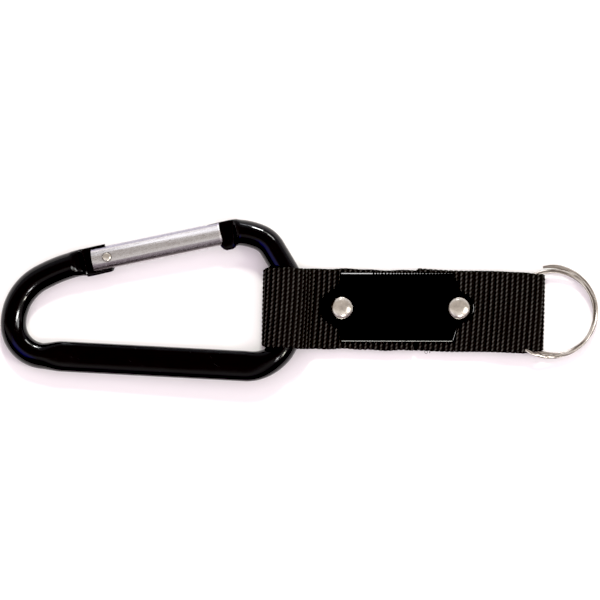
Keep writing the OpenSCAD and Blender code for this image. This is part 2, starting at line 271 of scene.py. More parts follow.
def placed(tree, scale=(1, 1, 1), turn=0.0):
    """Object coordinates, turned about z and then scaled."""
    where = add_node(tree, "ShaderNodeTexCoord").outputs["Object"]
    turned = add_node(tree, "ShaderNodeMapping", Vector=where, Rotation=(0, 0, turn))
    return add_node(tree, "ShaderNodeMapping", Vector=turned.outputs[0], Scale=scale).outputs[0]


def spread(tree, value, low, high, to_low, to_high):
    """Maps a value's range to another one."""
    made = add_node(tree, "ShaderNodeMapRange", Value=value)
    for key, number in (("From Min", low), ("From Max", high), ("To Min", to_low), ("To Max", to_high)):
        made.inputs[key].default_value = number
    return made.outputs[0]


def ramp(tree, value, *stops):
    """A colour ramp; a stop is (place, colour)."""
    made = add_node(tree, "ShaderNodeValToRGB", Fac=value)
    elements = made.color_ramp.elements
    while len(elements) < len(stops):
        elements.new(0.5)
    for element, (place, colour) in zip(elements, stops):
        element.position = place
        element.color = (*colour, 1)
    return made.outputs["Color"]


def bump(tree, shader, height, distance, strength, under=None):
    made = add_node(tree, "ShaderNodeBump", Height=height, Distance=distance * MM,
                    Strength=strength)
    if under:
        tree.links.new(under, made.inputs["Normal"])
    tree.links.new(made.outputs[0], shader.inputs["Normal"])
    return made.outputs[0]


def black_gloss(name, colour, specular, smooth, dull, gloss_pattern=None):
    """Gloss black with a faint orange peel, fine scratches and cloudy gloss.

    The last argument, when given, makes the gloss level from the shader tree, where it isn't the same all
    over.
    """
    surface, tree, shader = new_surface(name, colour, specular=specular)
    where = placed(tree)
    cloud = noise(tree, where, 170, 4)
    scratch = noise(tree, placed(tree, (200, 3200, 2000), 0.6), 1, 2)
    marks = spread(tree, scratch, 0.66, 0.78, 0, 0.2)
    base = spread(tree, cloud, 0.3, 0.7, smooth, dull)
    tree.links.new(maths(tree, "ADD", base, marks), shader.inputs["Roughness"])
    peel = noise(tree, where, 900, 2)
    bump(tree, shader, peel, 0.02, 0.5)
    if gloss_pattern:
        tree.links.new(gloss_pattern(tree, specular), shader.inputs["Specular IOR Level"])
    return surface


def dotted_edge_gloss(tree, specular):
    """Gloss of the plate: along its upper edge, towards the ring, the gloss drops out in a row of dots."""
    edge = painted(tree, "edge")
    start, end, pitch = 19.2 * MM, 42 * MM, 0.82 * MM
    parts = add_node(tree, "ShaderNodeSeparateXYZ", Vector=placed(tree)).outputs
    wander = noise(tree, placed(tree, (260, 1, 1)), 1, 2)
    phase = maths(tree, "MULTIPLY_ADD", parts["X"], 2 * math.pi / pitch,
                  maths(tree, "MULTIPLY", wander, 9.0))
    dots = spread(tree, maths(tree, "SINE", phase), -0.2, 0.4, 0.03, 1)
    fading = maths(tree, "MULTIPLY", dots, spread(tree, parts["X"], start, end, 1.0, 0.1))
    dotted_span = maths(tree, "MULTIPLY", spread(tree, parts["X"], start, start + 0.3 * MM, 0, 1),
                   maths(tree, "MULTIPLY", edge, spread(tree, parts["Y"], 0.0, MM, 0, 1)))
    loss = maths(tree, "MULTIPLY", dotted_span, maths(tree, "SUBTRACT", 1.0, fading))
    return maths(tree, "MULTIPLY", maths(tree, "SUBTRACT", 1.0, loss), specular)


def bare_aluminium():
    """Turned tube with lengthways scuffs, rub marks and cloudy gloss, plus painted reflections on its
    flanks and a painted highlight on its nose end.
    """
    surface, tree, shader = new_surface("gate_aluminium", (0.65, 0.64, 0.65), metallic=1.0)
    along = placed(tree, (150, 3800, 3800), -GATE_SLOPE)
    lines = noise(tree, along, 1, 3, 0.6)
    scuffs = noise(tree, placed(tree, (900, 2600, 2600), -GATE_SLOPE), 1, 5, 0.7)
    rough = spread(tree, scuffs, 0.35, 0.7, 0.2, 0.36)
    tree.links.new(rough, shader.inputs["Roughness"])
    shade = ramp(tree, scuffs, (0.3, (0.5, 0.48, 0.48)), (0.55, (0.64, 0.63, 0.64)),
                 (0.75, (0.74, 0.73, 0.74)))
    # painted reflections on the tube's flanks: a dark band on the flank that faces into the hook, and a
    # bluish grey line on the opposite flank
    dull, blue, clear = (0.2, 0.17, 0.18), (0.56, 0.56, 0.66), (1, 1, 1)
    painted_flank_reflection = ramp(tree, painted(tree, "across"), (0.035, clear), (0.065, dull), (0.13, dull), (0.18, clear),
                 (0.87, clear), (0.9, blue), (0.97, blue), (1.0, (0.8, 0.8, 0.85)))
    both = vectors(tree, "MULTIPLY", _0=shade, _1=painted_flank_reflection)[0]
    # the rim of the end that closes over the nose is painted half again as bright, a painted highlight
    highlight_rim_from_pivot = 30.85
    pivot, ahead = gate_line()
    highlight_rim_at = (float(pivot @ ahead) + highlight_rim_from_pivot) * MM
    along = vectors(tree, "DOT_PRODUCT", _0=placed(tree), _1=tuple(ahead))["Value"]
    # painted highlight: the colour rises to 1.5 times on the rim
    rim = spread(tree, along, highlight_rim_at, highlight_rim_at + 0.2 * MM, 1.0, 1.5)
    tree.links.new(vectors(tree, "SCALE", _0=both, Scale=rim)[0], shader.inputs["Base Color"])
    first = bump(tree, shader, lines, 0.05, 0.5)
    bump(tree, shader, scuffs, 0.05, 0.45, first)
    return surface


def plated(name, colour, smooth, dull):
    """Nickel plate with a cloudy gloss and small marks."""
    surface, tree, shader = new_surface(name, colour, metallic=1.0)
    where = placed(tree)
    cloud = noise(tree, where, 420, 4, 0.6)
    tree.links.new(spread(tree, cloud, 0.3, 0.7, smooth, dull), shader.inputs["Roughness"])
    dim = tuple(0.72 * c for c in colour)
    tree.links.new(ramp(tree, cloud, (0.3, dim), (0.6, colour)), shader.inputs["Base Color"])
    bump(tree, shader, noise(tree, where, 1500, 3), 0.012, 0.5)
    return surface


def wire_with_painted_streaks():
    """Nickelled spring wire with fine lines that run round the ring, in its bumps and roughness, and
    painted reflections: dark and bright streaks in its colour.
    """
    surface, tree, shader = new_surface("ring_nickel", (0.76, 0.73, 0.68), metallic=1.0)
    where = vectors(tree, "SUBTRACT", _0=placed(tree), _1=tuple(RING_CENTRE * MM))[0]
    parts = add_node(tree, "ShaderNodeSeparateXYZ", Vector=where).outputs
    flat = add_node(tree, "ShaderNodeCombineXYZ", X=parts["X"], Y=parts["Y"]).outputs[0]
    radius = vectors(tree, "LENGTH", _0=flat)["Value"]
    turn = maths(tree, "ARCTAN2", parts["Y"], parts["X"])
    lines = add_node(tree, "ShaderNodeCombineXYZ", X=maths(tree, "MULTIPLY", radius, 4200.0),
                     Y=maths(tree, "MULTIPLY", turn, 2.2),
                     Z=maths(tree, "MULTIPLY", parts["Z"], 2600.0)).outputs[0]
    lines_and_painted_streaks = noise(tree, lines, 1, 3, 0.55)
    # painted reflections: the colour runs from near black to near white along the lines, as streaks of
    # reflected light and dark
    shade = ramp(tree, lines_and_painted_streaks, (0.36, (0.07, 0.055, 0.05)), (0.47, (0.4, 0.36, 0.32)),
                 (0.56, (0.72, 0.68, 0.63)), (0.7, (0.9, 0.88, 0.86)))
    tree.links.new(shade, shader.inputs["Base Color"])
    tree.links.new(spread(tree, lines_and_painted_streaks, 0.3, 0.7, 0.34, 0.12), shader.inputs["Roughness"])
    bump(tree, shader, lines_and_painted_streaks, 0.03, 0.6)
    return surface


def woven():
    """Ribbed black webbing with painted light: crowns painted lighter as painted highlights, grooves left
    black as painted shade, with fine fibres.
    """
    surface, tree, shader = new_surface("webbing", (0.02, 0.02, 0.02), roughness=0.5, specular=0.4)
    # the painted light that the points carry: painted highlights on the crowns, painted shade in the
    # grooves and at the edges
    height = painted(tree, "weave")
    patch = noise(tree, placed(tree), 260, 3)
    tone = maths(tree, "MULTIPLY", height, spread(tree, patch, 0.3, 0.7, 0.78, 1.12))
    shade = ramp(tree, tone, (0.1, (0.0119, 0.0117, 0.0113)),
                 (0.45, (0.0226, 0.0215, 0.0202)), (0.95, (0.0635, 0.0605, 0.0558)))
    tree.links.new(shade, shader.inputs["Base Color"])
    tree.links.new(spread(tree, height, 0.3, 1, 0.02, 0.35), shader.inputs["Specular IOR Level"])
    tree.links.new(spread(tree, height, 0.3, 1, 0.8, 0.45), shader.inputs["Roughness"])
    fibres = noise(tree, placed(tree, (900, 9000, 9000), 0.25), 1, 2)
    bump(tree, shader, fibres, 0.05, 0.55)
    return surface


GLOSS_BAR = black_gloss("black_aluminium", (0.0015, 0.0015, 0.002), 0.28, 0.07, 0.16)
GLOSS_PLATE = black_gloss("plate_black", (0.001, 0.001, 0.001), 0.2, 0.08, 0.16, dotted_edge_gloss)
ALUMINIUM = bare_aluminium()
NICKEL = plated("rivet_nickel", (0.78, 0.73, 0.66), 0.16, 0.3)
RING_WIRE = wire_with_painted_streaks()
SPRING_WIRE = plated("spring_steel", (0.62, 0.62, 0.62), 0.25, 0.4)
WEBBING = woven()
FLOOR = new_surface("floor", (0.93, 0.93, 0.94), roughness=0.9, specular=0.1)[0]


# ---- Carabiner body ----

BAR_R = 3.5
BACK_HALF = 2.5
BAR_SIDES = 48
STATION = 0.4
NOSE_HEADING = -4
LEG_FROM_SWING = 1.0
LEG_Y = 0.1
LEG_STRETCH = 4
TONGUE_HALF = 1.0
# Stretches from the nose to the gate, each turning right: length or bend radius, bend angle
STRETCHES = (
    (17.5, 18), (7, 36), (6.9, 0), (6.5, 32), (13.2, 0), (8.5, 30), (10.9, 61.8),
    (54.9, 0), (8.7, 88.2), (14.3, 60), (42, 17.1),
)
BACK_STRETCH = 7
FLATTEN = 6
PIVOT_PAST_BAR = 6.5


def walk():
    """The bar's centreline: distance, x, y and heading at each station, and the stretches' ends."""
    x, y, heading, gone = 0.0, 0.0, math.radians(NOSE_HEADING), 0.0
    rows, ends = [(0.0, x, y, heading)], [0.0]
    for size, turn in STRETCHES:
        length = size * math.radians(turn) if turn else size
        steps = max(2, round(length / STATION))
        for _ in range(steps):
            bend = -math.radians(turn) / steps
            x += length / steps * math.cos(heading + bend / 2)
            y += length / steps * math.sin(heading + bend / 2)
            heading += bend
            gone += length / steps
            rows.append((gone, x, y, heading))
        ends.append(gone)
    rows = np.array(rows)
    first, last = (int(np.argmin(abs(rows[:, 0] - ends[LEG_STRETCH + k]))) for k in (0, 1))
    middle = (rows[first] + rows[last]) / 2
    rows[:, 1] += LEG_FROM_SWING - middle[1]
    rows[:, 2] += LEG_Y - middle[2]
    return rows, ends


def section_ring(x, y, heading, outer, inner, half, square):
    """A cross-section from its half widths outwards and inwards, half thickness and squareness."""
    across, up = squarish(BAR_SIDES, square)
    across = across * np.where(across > 0, outer, inner)
    return np.stack([x - across * math.sin(heading), y + across * math.cos(heading), up * half],
                    axis=1)


def bar_rings():
    """The bar from the nose round to the hinge: round, but flat along the back and at the hinge."""
    rows, ends = walk()
    back, back_end, total = ends[BACK_STRETCH], ends[BACK_STRETCH + 1], ends[-1]
    round_bar = (BAR_R, BAR_R, BAR_R, 2.05)
    # distance, outer, inner, half thickness, squareness
    sections = keyed(rows[:, 0], (
        (0, 3.5, 3.5, 3.45, 2.15),
        (3, *round_bar),
        (back - 9, *round_bar),
        (back + 1, 3.95, 4.3, BACK_HALF, 3.4),
        (back_end - FLATTEN + 1, 3.95, 4.3, BAR_R, 3.4),
        (back_end + 1, *round_bar),
        (total - 3.4, *round_bar),
        (total - 2.5, 3.55, 3.5, 2.85, 3.2),
        (total - 0.9, 3.58, 3.6, 2.75, 4.2),
        (total - 0.1, 3.6, 3.75, 1.1, 6),
        (total + 1, 3.6, 3.8, TONGUE_HALF, 7),
    ))
    # the top falls gently from the round toe to the flat back
    after = rows[:, 0] > back + 1
    fall = ((back_end - 10, BACK_HALF), (back_end + 2.5, BAR_R), (total, BAR_R))
    thick = keyed(rows[:, 0], fall)[:, 0]
    sections[after, 2] = np.minimum(sections[after, 2], thick[after])
    return [section_ring(*row[1:], *section) for row, section in zip(rows, sections)]


def nose_rings():
    """The thin nose inside the gate's slot and the block behind it."""
    stations = np.concatenate([np.linspace(27.6, 31.2, 10), np.linspace(31.4, 36.3, 16)])
    # distance from the pivot, place across, heading, outer, inner, half thickness, squareness
    rows = keyed(stations, (
        (27.6, 0, 0, 2.5, 2.3, TONGUE_HALF, 7),
        (28.2, 0, 0, 3.0, 2.5, TONGUE_HALF, 7),
        (30.2, 0, 0, 3.05, 2.75, TONGUE_HALF, 7),
        (31.2, 0, 0, 3.1, 4.3, TONGUE_HALF, 7),
        (32.0, 0, 0, 3.12, 4.8, TONGUE_HALF, 6),
        (33.7, 0, -2, 3.15, 4.8, 1.1, 6),
        (34.8, -0.12, -6, 3.25, 4.45, 1.25, 6),
        (35.5, -0.3, -10, 3.4, 3.9, 2.5, 3.4),
        (36.3, -0.7, -15, 3.5, 3.55, 3.2, 2.5),
    ))
    return [gate_to_hook(section_ring(x, y, math.radians(heading), *section))
            for x, (y, heading, *section) in zip(stations, rows)]


def tongue_rings():
    """The hinge's thin tongue and its cam."""
    stations = np.concatenate([
        np.linspace(-PIVOT_PAST_BAR + 0.4, -0.06, 14), [0.0, 0.02], np.linspace(0.15, 2.0, 10)])
    # distance from the pivot, outer, inner, half thickness, squareness
    sections = keyed(stations, (
        (-6.2, 3.55, 4.15, TONGUE_HALF, 7),
        (-4.4, 3.6, 4.2, TONGUE_HALF, 8),
        (-0.06, 3.65, 4.1, TONGUE_HALF, 8),
        (0.0, 3.6, 4.1, TONGUE_HALF, 8),
        (0.02, 1.5, 4.1, TONGUE_HALF, 8),
        (0.8, 1.27, 3.95, TONGUE_HALF, 8),
        (1.4, 0.6, 3.2, TONGUE_HALF, 8),
        (2.0, 0.05, 2.1, TONGUE_HALF, 8),
    ))
    return [gate_to_hook(section_ring(x, 0, 0, *section)) for x, section in zip(stations, sections)]


def make_body():
    """The whole hook but its gate, as one sweep from the nose to the hinge."""
    rings = np.array(nose_rings() + bar_rings() + tongue_rings())
    rings = from_hook(rings).reshape(rings.shape)
    piece = sweep("snap_hook_bar", rings, GLOSS_BAR, sharp=50)
    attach(piece, "carabiner")
    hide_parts("carabiner_body")


# ---- Gate ----

GATE_R = 3.2
GATE_DROP = 0.14
GATE_SIDES = 128


def solid(points, faces):
    """A scratch object in the gate's frame, for the boolean cuts."""
    mesh = bpy.data.meshes.new("scratch")
    mesh.from_pydata([tuple(p) for p in points], [], faces)
    work = bmesh.new()
    work.from_mesh(mesh)
    bmesh.ops.recalc_face_normals(work, faces=work.faces)
    work.to_mesh(mesh)
    work.free()
    return new_object("scratch", mesh)


def along_x(radius, start, end, steps=GATE_SIDES, drop=0.0):
    rings = [[(x, radius * math.cos(a) - drop, radius * math.sin(a)) for a in full_turn(steps)]
             for x in (start, end)]
    return solid(np.array(rings).reshape(-1, 3), ring_faces(2, steps))


def along_z(outline, low, high):
    rings = [[(x, y, z) for x, y in outline] for z in (low, high)]
    return solid(np.array(rings).reshape(-1, 3), ring_faces(2, len(outline)))


def circle(radius):
    return [(radius * math.cos(a), radius * math.sin(a)) for a in full_turn(64)]


def rectangle(x0, y0, x1, y1):
    return [(x0, y0), (x1, y0), (x1, y1), (x0, y1)]


def cut(target, tool, operation="DIFFERENCE"):
    step = target.modifiers.new("cut", "BOOLEAN")
    step.operation = operation
    step.solver = "EXACT"
    step.object = tool
    settle(target)
    bpy.data.objects.remove(tool)


def settle(target):
    """Applies the object's modifiers to its mesh."""
    graph = bpy.context.evaluated_depsgraph_get()
    mesh = bpy.data.meshes.new_from_object(target.evaluated_get(graph))
    target.modifiers.clear()
    target.data = mesh


def soften(target, width, weight_at):
    """Bevels the sharp edges; weight_at gives the part of the width for an edge's place."""
    work = bmesh.new()
    work.from_mesh(target.data)
    layer = work.edges.layers.float.new("bevel_weight_edge")
    for edge in work.edges:
        if len(edge.link_faces) == 2 and edge.calc_face_angle(0) > math.radians(40):
            edge[layer] = weight_at((edge.verts[0].co + edge.verts[1].co) / 2)
    work.to_mesh(target.data)
    work.free()
    step = target.modifiers.new("soften", "BEVEL")
    step.width = width
    step.segments = 2
    step.limit_method = "WEIGHT"
    settle(target)


def make_gate():
    """The bored sleeve, slotted at both ends."""
    bore_r, bore_end = 2.0, 18.0
    slot_half = 1.1
    head_hole_r = 1.32
    tail, nose = -4.1, 31.4
    far = 6
    edge_width, rim_from, rim_r = 0.34, nose - 3, 2.95
    tube = along_x(GATE_R, tail - 1, nose + 1, drop=GATE_DROP)
    # both ends are cut to their outline, seen along the pivot
    outline = [(tail + 0.15, far), (tail + 0.12, 2.6), (tail - 0.08, 0.2), (tail - 0.05, -1.6),
               (tail, -far), (nose - 2.6, -far), (nose - 1.9, -3.6), (nose - 1.1, -3.4),
               (nose - 0.45, -2.95), (nose - 0.05, -2.05), (nose + 0.02, -1.2),
               (nose - 0.12, 0.7), (nose - 0.1, far)]
    cut(tube, along_z(outline, -far, far), "INTERSECT")
    cut(tube, along_x(bore_r, tail - 2, bore_end, 64))
    cut(tube, along_z(rectangle(tail - 2, 0.02, 0.1, far), -slot_half, slot_half))
    cut(tube, along_z(rectangle(tail - 2, -far, 5.5, 0.03), -slot_half, slot_half))
    cut(tube, along_z(rectangle(nose - 4, -far, nose + 2, far), -slot_half, slot_half))
    cut(tube, along_z(circle(head_hole_r), -far, far))
    # the rim that closes over the nose is rounded the most
    soften(tube, edge_width,
           lambda place: 1.0 if place.x > rim_from and place.yz.length > rim_r else 0.4)
    mesh = tube.data
    points = np.array([v.co for v in mesh.vertices])
    faces = [tuple(p.vertices) for p in mesh.polygons]
    bpy.data.objects.remove(tube)
    piece = make_piece("gate_sleeve", from_gate(points), faces, ALUMINIUM, sharp=32)
    # the place round the tube, from the flank facing into the hook to the other one, where the painted
    # reflections are laid
    paint(piece, "across", 0.5 + (points[:, 1] + GATE_DROP) / (2 * GATE_R))
    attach(piece, "gate")
    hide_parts("gate_tube")


def make_gate_rivet():
    """Two low domed heads on one shank."""
    head_r, shank_r = 1.27, 0.85
    top, rim, under = 3.18, 2.7, 1.45
    dome = [(head_r * math.sin(a), rim + (top - rim) * math.cos(a))
            for a in np.linspace(0.02, math.pi / 2, 10)]
    upper = dome + [(head_r, under), (shank_r, under)]
    profile = upper + [(r, -z) for r, z in reversed(upper)]
    points, faces = lathe(profile, 48)
    piece = make_piece("gate_rivet_pin", from_gate(points), faces, NICKEL, sharp=40)
    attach(piece, "gate")
    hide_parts("gate_rivet")


def make_plunger():
    """Round-nosed pin that the hinge tongue's cam presses."""
    low = 2.06
    head_r, stem_r, axis_r = 1.88, 1.05, 0.05
    profile = [(axis_r, low), (1.2, low), (1.7, low + 0.25), (head_r, low + 0.7),
               (head_r, low + 2.3), (1.8, low + 2.4), (stem_r, low + 2.4), (stem_r, low + 6.1),
               (0.8, low + 6.4), (axis_r, low + 6.4)]
    points, faces = lathe(profile, 40)
    # the turned profile's height runs along the gate
    points = points[:, [2, 0, 1]]
    piece = make_piece("gate_plunger_pin", from_gate(points), faces, SPRING_WIRE, sharp=40)
    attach(piece, "plunger")
    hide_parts("gate_plunger")


def make_spring():
    """Coil between the plunger's head and the bottom of the bore."""
    wire_r, coil_r = 0.22, 1.47
    start, end = 4.74, 17.7
    turns, steps, sides = 10, 28, 8
    a = np.linspace(0, 2 * math.pi * turns, turns * steps + 1)
    b = full_turn(sides)
    x = start + (end - start) * a / a[-1]
    radius = coil_r + wire_r * np.cos(b)[None, :]
    rings = np.stack([
        x[:, None] - wire_r * np.sin(b)[None, :],
        radius * np.cos(a)[:, None],
        radius * np.sin(a)[:, None],
    ], axis=2)
    points = from_gate(rings.reshape(-1, 3)).reshape(rings.shape)
    piece = sweep("gate_coil_spring", points, SPRING_WIRE)
    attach(piece, "gate")
    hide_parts("gate_spring")
    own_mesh(piece)


# ---- Webbing ----

# pitch of the ribs along the strap, and of the crowns along a rib
RIB = 1.39
CROWN = 1.15
# points for each rib, and across the outer and the inner face
RIB_STEPS = 8
WEB_OUTER = 134
WEB_INNER = 34
# depth of the grooves, and widths and depth of the rounding at the edges
RELIEF = 0.42
EDGE_ROUND = 0.55
SELVEDGE = 1.2
SCALLOP = 0.26
MOST_SPREAD = 0.74


def bezier(a, a_out, b_in, b, count=60):
    t = np.linspace(0, 1, count)[:, None]
    a, a_out, b_in, b = (np.array(p, float) for p in (a, a_out, b_in, b))
    return ((1 - t) ** 3 * a + 3 * t * (1 - t) ** 2 * a_out + 3 * t * t * (1 - t) * b_in + t ** 3 * b)


def arc(centre, radius, start, end, count=120):
    a = np.radians(np.linspace(start, end, count))
    return np.stack([centre[0] + radius * np.cos(a), centre[1] + radius * np.sin(a)], axis=1)


def carabiner_route():
    """Middle line of the webbing from the butt over the loop round the hook and back below."""
    upper_z, lower_z = UPPER_HIGH.z - WEB_T / 2, LOWER_LOW.z + WEB_T / 2
    radius = LOOP_HIGH.z - SWING.z - WEB_T / 2
    centre = (SWING.x, SWING.z)
    neck = PLATE_LOW.x - 0.2
    over, under = 66, 276
    loop = arc(centre, radius, over, under)
    rise = 4.2
    lead = np.array([-math.sin(math.radians(over)), math.cos(math.radians(over))])
    leave = np.array([-math.sin(math.radians(under)), math.cos(math.radians(under))])
    return np.vstack([
        [(BUTT_X - 0.4, upper_z)],
        bezier((neck, upper_z), (neck - rise, upper_z), loop[0] - lead * rise, loop[0]),
        loop,
        bezier(loop[-1], loop[-1] + leave * 3, (neck - 2, lower_z), (neck + 2, lower_z)),
        [(BUTT_X, lower_z)],
    ])


def ring_route():
    """Middle line from the butt out over the fold that holds the ring and back below."""
    upper_z, lower_z = UPPER_HIGH.z - WEB_T / 2, LOWER_LOW.z + WEB_T / 2
    middle_z = LOWER_HIGH.z
    radius = (FOLD_HIGH.z - FOLD_LOW.z - WEB_T) / 2
    centre = (FOLD_HIGH.x - radius - WEB_T / 2, middle_z)
    neck = PLATE_HIGH.x + 1.0
    fold_start = neck + 8
    return np.vstack([
        [(BUTT_X + 0.4, upper_z)],
        bezier((neck, upper_z), (neck + 3, upper_z), (fold_start - 3, middle_z + radius),
               (fold_start, middle_z + radius)),
        arc(centre, radius, 90, -90, 60),
        bezier((fold_start, middle_z - radius), (fold_start - 3, middle_z - radius),
               (neck + 3, lower_z), (neck, lower_z)),
        [(BUTT_X, lower_z)],
    ])


def even(route):
    """Points at even distances along a route, and the directions there."""
    lengths = np.linalg.norm(np.diff(route, axis=0), axis=1)
    gone = np.concatenate([[0], np.cumsum(lengths)])
    places = np.linspace(0, gone[-1], round(gone[-1] / RIB * RIB_STEPS) + 1)
    points = np.stack([np.interp(places, gone, route[:, k]) for k in (0, 1)], axis=1)
    tangents = np.gradient(points, axis=0)
    return points, tangents / np.linalg.norm(tangents, axis=1)[:, None]


def outwards(tangent, side):
    """Directions from the webbing's middle line to its outer face."""
    return np.stack([-tangent[:, 1], tangent[:, 0]], axis=1) * side


def rib_places(middle, tangent, side):
    """Ribs counted along the outer face; they spread a little where it slopes."""
    normal = outwards(tangent, side)
    steps = np.linalg.norm(np.diff(middle + normal * WEB_T / 2, axis=0), axis=1)
    level = np.clip(abs(tangent[1:, 0]), MOST_SPREAD, 1)
    return np.concatenate([[0], np.cumsum(steps * level)]) / RIB


def rib_count(route, side):
    middle, tangent = even(route)
    return rib_places(middle, tangent, side)[-1]


def bow(across):
    """How far a rib leans back towards the strap's lower edge."""
    return -1.1 * ((1 - across) / 2) ** 1.5


RANDOM = np.random.default_rng(SEED)
RIB_TABLE = 256
RIB_PHASE = RANDOM.normal(0, 0.06, RIB_TABLE)
RIB_HEIGHT = RANDOM.normal(0, 0.03, RIB_TABLE)
RIB_LEAN = RANDOM.normal(0, 0.03, RIB_TABLE)
YARN_HEIGHT = RANDOM.normal(0, 0.025, RIB_TABLE)


def weave(rib_place, along_rib):
    """Height and painted light of the woven face, from 0 to 1 each: painted highlights on the crests of
    the crowns, painted shade in the grooves.

    The place is given in ribs along the strap and in millimetres along a rib.
    """
    rib = np.floor(rib_place).astype(int)
    inside = rib_place - rib - 0.5
    index = rib % RIB_TABLE
    turn = along_rib / CROWN + 0.5 * (rib % 2) + RIB_PHASE[index] + 0.35 * inside
    yarn = np.floor(turn * 2).astype(int) % RIB_TABLE
    crown = (0.5 + 0.5 * np.cos(2 * math.pi * turn)) ** 0.7
    side = inside + 0.05 * np.sin(2 * math.pi * turn) + RIB_LEAN[index]
    ridge_half, crest_half, low = 0.42, 0.23, 0.5
    ridge = np.sqrt(np.clip(1 - (side / ridge_half) ** 2, 0, 1))
    crest = np.clip(1 - (side / crest_half) ** 2, 0, 1)
    uneven = 1 + RIB_HEIGHT[index] + YARN_HEIGHT[yarn]
    height = np.clip(ridge * (low + (1 - low) * crown) * uneven, 0, 1)
    # the second value is painted light, highest on the crest of each crown
    return height, np.clip(crest * (0.35 + 0.65 * crown) * uneven, 0, 1)


def selvedge(reach, width, rib_place):
    """How far a rib's round end draws the edge in, and the part of the thickness left there."""
    inside = 2 * (rib_place % 1) - 1
    scallop = SCALLOP * (1 - np.sqrt(np.clip(1 - inside ** 2, 0, 1)))
    near = np.clip((reach - (width - SELVEDGE)) / SELVEDGE, 0, 1)
    to_edge = np.clip((reach - (width - EDGE_ROUND)) / EDGE_ROUND, 0, 1)
    return scallop * near, np.sqrt(np.clip(1 - to_edge ** 2, 0, 1))


def make_webbing(name, route, side, rib_start, half_widths, shift):
    """A folded length of webbing. side is 1 where the route's left is the outer face, or -1."""
    middle, tangent = even(route)
    normal = outwards(tangent, side)
    ribs = rib_start - side * rib_places(middle, tangent, side)
    across = np.concatenate([np.linspace(-1, 1, WEB_OUTER), np.linspace(1, -1, WEB_INNER)[1:-1]])
    outer = np.concatenate([np.ones(WEB_OUTER), -np.ones(WEB_INNER - 2)])
    rib_place = ribs[:, None] + bow(across)[None, :] / RIB
    low, high = half_widths(middle)
    width = np.where(across[None, :] > 0, high[:, None], low[:, None])
    y = across[None, :] * width
    face, painted_crown_light = weave(rib_place + (outer < 0)[None, :] * 0.5, y)
    drawn_in, thick = selvedge(abs(y), width, rib_place)
    y = y - np.sign(across)[None, :] * drawn_in
    relief = np.where(outer > 0, RELIEF, RELIEF * 0.5)[None, :]
    out = outer[None, :] * (WEB_T / 2 - relief * (1 - face)) * thick
    x = middle[:, 0, None] + normal[:, 0, None] * out
    z = middle[:, 1, None] + normal[:, 1, None] * out
    points = np.stack([x, STRAP_Y + y + shift(middle), z], axis=2)
    count, sides = points.shape[:2]
    faces = ring_faces(count, sides)
    if side < 0:
        faces = flipped(faces)
    piece = make_piece(name, points.reshape(-1, 3), faces, WEBBING)
    # painted light: crowns lighter, and painted shade where the face rounds off at the edges
    paint(piece, "weave", painted_crown_light * (0.3 + 0.7 * thick))
    return piece, ribs[-1]


def make_strap():
    """The one length of webbing, in two pieces that meet under the plate."""

    def plain(middle):
        width = np.full(len(middle), WEB_HALF)
        wander = 0.12 * np.sin(middle[:, 0] * 0.35) + 0.08 * np.sin(middle[:, 0] * 0.83 + 1)
        corner = 0.9 * ease((LOOP_LOW.x + 1.6 - middle[:, 0]) / 1.6)
        return width + wander - corner * 0.6, width - 0.2 - wander - corner

    def at_ring(middle):
        width = np.full(len(middle), WEB_HALF)
        wander = 0.1 * np.sin(middle[:, 0] * 0.3 + 2)
        end = ease((middle[:, 0] - (FOLD_HIGH.x - 6)) / 6)
        return width + wander - 0.8 * end, width - wander - 0.6 * end

    def still(middle):
        return 0

    def askew(middle):
        """The upper layer on this side lies slightly turned under the plate."""
        upper = ease((middle[:, 1] - LOWER_HIGH.z) / 0.4)
        turned = math.tan(math.radians(1.2)) * np.clip(RIGHT_END_HIGH.x - middle[:, 0], 0, None)
        return (upper * turned)[:, None]

    first, ribs = make_webbing("webbing_hook_side", carabiner_route(), -1, 0, plain, still)
    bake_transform(first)
    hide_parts("strap_lower_layer", "strap_end_left", "strap_carabiner_loop")

    route = ring_route()
    total = rib_count(route, 1)
    second, _ = make_webbing("webbing_ring_side", route, 1, ribs + total, at_ring, askew)
    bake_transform(second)
    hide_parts("strap_end_right", "strap_ring_loop")


def make_threads():
    """Two loose ends of yarn at the strap's lower edge."""
    edge = STRAP_Y - WEB_HALF
    x, z = BUTT_X, LOWER_HIGH.z
    strands = {
        "loose_thread": (0.085, bezier((x + 4.2, edge + 0.8, z), (x + 4.25, edge + 0.3, z),
                                       (x + 4.1, edge - 0.2, z), (x + 4.2, edge - 0.5, z), 14)),
        "loose_loop": (0.045, bezier((x + 2.7, edge + 0.4, z), (x + 2.6, edge - 1.1, z),
                                     (x + 4.0, edge - 0.9, z), (x + 3.4, edge + 0.4, z), 24)),
    }
    turn = full_turn(10)
    for name, (radius, path) in strands.items():
        ahead = np.gradient(path, axis=0)
        ahead /= np.linalg.norm(ahead, axis=1)[:, None]
        across = np.stack([-ahead[:, 1], ahead[:, 0], 0 * ahead[:, 0]], axis=1)
        up = np.array([0.0, 0.0, 1.0])
        rings = path[:, None] + radius * (across[:, None] * np.cos(turn)[None, :, None]
                                          + up * np.sin(turn)[None, :, None])
        piece = sweep(name, rings, WEBBING)
        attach(piece, "strap")


# ---- Name plate and rivets ----

